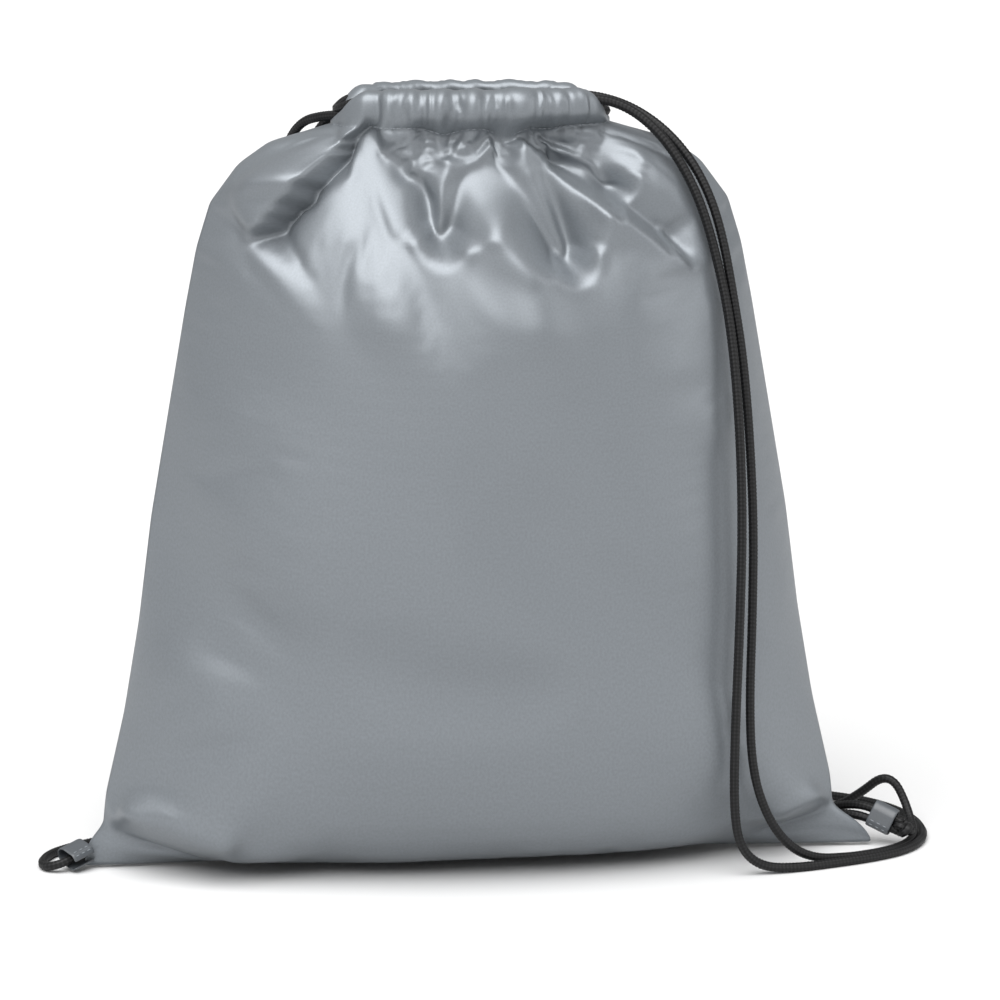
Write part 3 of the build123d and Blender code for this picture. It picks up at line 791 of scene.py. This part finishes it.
def tube(line, radius, relief, step=RING_STEP, sides=RING_SIDES):
    """Braided tube round a line, as a bmesh with closed ends, and its middle points."""
    points, length = even_points(line, step)
    frames = carried_frames(points)
    rings = len(points) - 1

    def place(u, v):
        index = min(round(u * rings), rings)
        _, side, up = frames[index]
        angle = 2 * math.pi * v
        along = 2 * math.pi * u * length / BRAID_PITCH
        around = BRAID_STRANDS * angle
        strand = math.sin(along + around) * math.sin(along - around)
        reach = radius - relief * 0.5 + relief * strand
        return points[index] + (side * math.cos(angle) + up * math.sin(angle)) * reach

    bm = grid(rings, sides, place, (length, 1.0))
    bmesh.ops.remove_doubles(bm, verts=bm.verts, dist=1e-6)
    bmesh.ops.holes_fill(bm, edges=[edge for edge in bm.edges if edge.is_boundary], sides=sides + 2)
    bmesh.ops.recalc_face_normals(bm, faces=bm.faces)
    return bm, points


def join_meshes(bm, other):
    """Add one bmesh to another, through a mesh that is thrown away."""
    mesh = bpy.data.meshes.new("joining")
    other.to_mesh(mesh)
    other.free()
    bm.from_mesh(mesh)
    bpy.data.meshes.remove(mesh)


def stitch_row(points, length, gap, thickness):
    """Row of short stitches, each a small capsule lying along the line."""
    bm = bmesh.new()
    even, total = even_points(points, length + gap)
    for before, after in zip(even, even[1:]):
        ahead = (after - before).normalized()
        turn = ahead.to_track_quat("Z", "Y").to_matrix().to_4x4()
        place = Matrix.Translation(before.lerp(after, 0.5)) @ turn
        made = bmesh.ops.create_uvsphere(bm, u_segments=6, v_segments=6, radius=thickness / 2)["verts"]
        for vert in made:
            vert.co.z *= length / thickness
            vert.co = place @ vert.co
    return bm


def ride_as(piece, body, slot, material, *nodes):
    """Give a piece its material and its body, and hide the nodes that it replaces; the slot is not used.
    """
    piece.data.materials.clear()
    piece.data.materials.append(material)
    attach(piece, body)
    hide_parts(*nodes)


# ---- operators -------------------------------------------------------------------------
def looks():
    return bpy.context.scene.bag_colours


def sizes():
    return bpy.context.scene.bag_sizes


class BAG_OT_camera(bpy.types.Operator):
    """Place the camera"""
    bl_idname = "bag.camera"
    bl_label = "Camera"

    def execute(self, context):
        camera = bpy.data.cameras.new("camera")
        camera.lens = CAMERA_LENS
        camera.sensor_width = 36.0
        camera.clip_end = 30.0
        holder = bpy.data.objects.new("camera", camera)
        holder.location = CAMERA_PLACE
        aim = CAMERA_AIM - holder.location
        holder.rotation_euler = aim.to_track_quat("-Z", "Y").to_euler()
        context.scene.collection.objects.link(holder)
        context.scene.camera = holder
        return {"FINISHED"}


class BAG_OT_materials(bpy.types.Operator):
    """Make the shared shader groups and the materials"""
    bl_idname = "bag.materials"
    bl_label = "Materials"

    def execute(self, context):
        weave_group()
        braid_group()
        colours = looks()
        cloth_material("polyester_cloth", tuple(colours.cloth), 0.45, 0.45)
        cloth_material("seam_cloth", scaled(tuple(colours.cloth), 0.85), 0.55, 0.0)
        cloth_material("pressed_cloth", tuple(colours.tab), 0.48, 0.0)
        thread_material("sewing_thread", tuple(colours.thread))
        cord_material("braided_cord", tuple(colours.cord))
        return {"FINISHED"}


def make_cord(name, route, length, node):
    """Braided cord along its route."""
    line = spline_points(name + "_line", route)
    bm, points = tube(line, CORD_D / 2, sizes().braid_relief)
    piece = mesh_object(name, bm)
    ride_as(piece, "bag", "cord", bpy.data.materials["braided_cord"], node)
    tuple(points[0])
    [tuple(p) for p in points[::3] + [points[-1]]]


def make_knot(name, centre, node):
    """Overhand knot: a small trefoil of cord pulled tight."""
    line = []
    for step in range(KNOT_STEPS + 1):
        turn = 2 * math.pi * step / KNOT_STEPS
        line.append(centre + KNOT_SCALE * Vector((
            math.sin(turn) + 2 * math.sin(2 * turn),
            math.cos(turn) - 2 * math.cos(2 * turn),
            -KNOT_FLATNESS * math.sin(3 * turn))))
    bm, _ = tube(line, CORD_D / 2 - 0.0001, sizes().braid_relief, step=0.0007)
    piece = mesh_object(name, bm)
    ride_as(piece, "bag", "cord", bpy.data.materials["braided_cord"], node)
    return piece


class BAG_OT_cords(bpy.types.Operator):
    """Make the two cords and the knots that join their ends"""
    bl_idname = "bag.cords"
    bl_label = "Cords and knots"

    def execute(self, context):
        for side, route, length, centre in (("left", LEFT_ROUTE, LEFT_LENGTH, LEFT_KNOT),
                                            ("right", RIGHT_ROUTE, RIGHT_LENGTH, RIGHT_KNOT)):
            knot = make_knot(f"{side}_overhand_knot", centre, f"{side}_knot")
            make_cord(f"{side}_braided_cord", route, length, f"{side}_cord")
        return {"FINISHED"}


class BAG_OT_cloth(bpy.types.Operator):
    """Make the front and back sheets with their gathered hems"""
    bl_idname = "bag.cloth"
    bl_label = "Cloth"

    def execute(self, context):
        for name, side in (("front", -1), ("back", 1)):
            piece = panel(f"{name}_sheet", side, sizes().cloth_thickness)
            ride_as(piece, "bag", "cloth", bpy.data.materials["polyester_cloth"],
                    f"{name}_panel", f"{name}_hem")
        return {"FINISHED"}


def strap_height(along):
    """Half height of the folded strap at a share of its straight part."""
    return TAB_HALF * ease(-0.25, 0.30, along)


def tab_profile(share):
    """Middle line of the folded strap: out along one face, round the end and back."""
    straight = TAB_LENGTH - TAB_HALF
    along = min(share, 1 - share) / TAB_STRAIGHT
    if along < 1:
        return along * straight, math.copysign(strap_height(along), share - 0.5)
    angle = math.pi * (share - 0.5) / (1 - 2 * TAB_STRAIGHT)
    return straight + TAB_HALF * math.cos(angle), TAB_HALF * math.sin(angle)


def make_tab(name, place, body):
    """Folded strap with its two rows of tack stitches on each face."""
    root, out, across = place
    normal = out.cross(across).normalized()

    def point(u, v):
        along, height = tab_profile(u)
        return root + out * along + normal * height + across * (v - 0.5) * TAB_WIDTH

    bm = grid(30, 8, point, (0.03, TAB_WIDTH))
    bmesh.ops.recalc_face_normals(bm, faces=bm.faces)
    piece = mesh_object(name + "_strap", bm)
    solid = piece.modifiers.new("thickness", "SOLIDIFY")
    solid.thickness = TAB_THICKNESS
    solid.offset = 0.0
    smooth = piece.modifiers.new("rounder", "SUBSURF")
    smooth.levels = 1
    smooth.render_levels = 1
    ride_as(piece, body, "tab_cloth", bpy.data.materials["pressed_cloth"], name)
    bm = bmesh.new()
    for face_side in (-1, 1):
        for along in TACK_PLACES:
            share = along / (TAB_LENGTH - TAB_HALF)
            height = face_side * (strap_height(share) + 0.0004)
            row = [root + out * along + normal * height + across * shift * (TAB_WIDTH - TACK_MARGIN)
                   for shift in (-0.5, 0.0, 0.5)]
            join_meshes(bm, stitch_row(row, 0.0018, 0.0006, 0.00040))
    stitches = mesh_object(name + "_tack", bm)
    ride_as(stitches, body, "thread", bpy.data.materials["sewing_thread"], name + "_stitching")


class BAG_OT_tabs(bpy.types.Operator):
    """Make the corner tabs and their stitches"""
    bl_idname = "bag.tabs"
    bl_label = "Corner tabs"

    def execute(self, context):
        make_tab("left_tab", LEFT_TAB, "left_loop")
        make_tab("right_tab", RIGHT_TAB, "right_loop")
        return {"FINISHED"}


def hem_thread(name, side):
    """Row of stitches that holds one hem."""
    row = []
    for step in range(STITCH_STEPS + 1):
        u = 0.03 + 0.94 * step / STITCH_STEPS
        here = hem_point(side, u, STITCH_SHARE)
        out = Vector((here.x / HEM_AXES[0] ** 2, here.y / HEM_AXES[1] ** 2, 0)).normalized()
        row.append(here + out * STITCH_PROUD)
    piece = mesh_object(f"{name}_hem_thread",
                        stitch_row(row, sizes().stitch_length, STITCH_GAP, THREAD_D))
    ride_as(piece, "bag", "thread", bpy.data.materials["sewing_thread"], f"{name}_hem_stitching")


def seam_allowance(name, place, length, node):
    """Strip of cloth left inside a seam: place(u, v) gives its points."""
    piece = mesh_object(name, grid(4, ALLOWANCE_ROWS, place, (ALLOWANCE_DEPTH, length)))
    solid = piece.modifiers.new("thickness", "SOLIDIFY")
    solid.thickness = ALLOWANCE_THICKNESS
    solid.offset = 0.0
    ride_as(piece, "bag", "seam_allowance", bpy.data.materials["seam_cloth"], node)


def side_strip(edge):
    """Points of the allowance inside a side seam, edge being -1 left and 1 right."""
    def place(u, v):
        distance = SIDE_SEAM_START + SIDE_SEAM_LENGTH * v
        half_width = between(SIDE_PROFILE, distance, 1)
        ripple = ALLOWANCE_RIPPLE * math.sin(60 * v) * u
        x = edge * (half_width - ALLOWANCE_INSET - ALLOWANCE_DEPTH * u)
        return Vector((x, ripple, between(SIDE_PROFILE, distance, 2)))

    return place


def bottom_strip(u, v):
    """Points of the allowance inside the bottom seam."""
    ripple = ALLOWANCE_RIPPLE * math.sin(50 * v) * u
    return Vector(((v - 0.5) * 2 * BOTTOM_SEAM_HALF, ripple, BOTTOM_SEAM_HEIGHT + ALLOWANCE_DEPTH * u))


class BAG_OT_sewing(bpy.types.Operator):
    """Make the hem stitches and the seam allowances inside"""
    bl_idname = "bag.sewing"
    bl_label = "Sewing"

    def execute(self, context):
        for name, side in (("front", -1), ("back", 1)):
            hem_thread(name, side)
        for name, edge in (("left", -1), ("right", 1)):
            seam_allowance(f"{name}_side_allowance", side_strip(edge), WALL_LENGTH, f"{name}_side_seam")
        seam_allowance("bottom_allowance", bottom_strip, 2 * BOTTOM_SEAM_HALF, "bottom_seam")
        return {"FINISHED"}


def wide_light(name, comes_from, spread, strength):
    """Distant light as wide as a softbox: where it comes from, its spread in degrees."""
    light = bpy.data.lights.new(name, "SUN")
    light.angle = math.radians(spread)
    light.energy = strength
    holder = bpy.data.objects.new(name, light)
    holder.location = comes_from
    holder.rotation_euler = (-Vector(comes_from)).to_track_quat("-Z", "Y").to_euler()
    bpy.context.scene.collection.objects.link(holder)


class BAG_OT_stage(bpy.types.Operator):
    """Make the pale floor, the lights and the plain surroundings"""
    bl_idname = "bag.stage"
    bl_label = "Stage"

    def execute(self, context):
        scene = context.scene
        scene.view_settings.view_transform = "Standard"
        bm = bmesh.new()
        bmesh.ops.create_grid(bm, x_segments=1, y_segments=1, size=FLOOR_SIZE)
        floor = mesh_object("floor", bm)
        material, _, shader = finish_material("floor_white", FLOOR_COLOUR, 0.75, 0.0, 0.2)
        floor.data.materials.append(material)
        world = bpy.data.worlds.new("surroundings")
        world.use_nodes = True
        scene.world = world
        back = world.node_tree.nodes["Background"]
        back.inputs["Color"].default_value = (1.0, 1.0, 1.0, 1.0)
        back.inputs["Strength"].default_value = SURROUNDINGS
        wide_light("key_light", *KEY_LIGHT)
        wide_light("side_light", *SIDE_LIGHT)
        return {"FINISHED"}


OPERATORS = (BAG_OT_camera, BAG_OT_materials, BAG_OT_cords, BAG_OT_cloth, BAG_OT_tabs,
             BAG_OT_sewing, BAG_OT_stage)


class BAG_PT_panel(bpy.types.Panel):
    """Lists the steps that build the bag"""
    bl_idname = "BAG_PT_panel"
    bl_label = "Shoe bag"
    bl_space_type = "VIEW_3D"
    bl_region_type = "UI"
    bl_category = "Shoe bag"

    def draw(self, context):
        for operator in OPERATORS:
            self.layout.operator(operator.bl_idname)


CLASSES = (BagColours, BagSizes, *OPERATORS, BAG_PT_panel)


def register():
    for each in CLASSES:
        bpy.utils.register_class(each)
    bpy.types.Scene.bag_colours = bpy.props.PointerProperty(type=BagColours)
    bpy.types.Scene.bag_sizes = bpy.props.PointerProperty(type=BagSizes)


def unregister():
    del bpy.types.Scene.bag_sizes
    del bpy.types.Scene.bag_colours
    for each in reversed(CLASSES):
        bpy.utils.unregister_class(each)


def main():
    register()
    for operator in OPERATORS:
        group, name = operator.bl_idname.split(".")
        getattr(getattr(bpy.ops, group), name)()


if __name__ == "__main__":
    main()
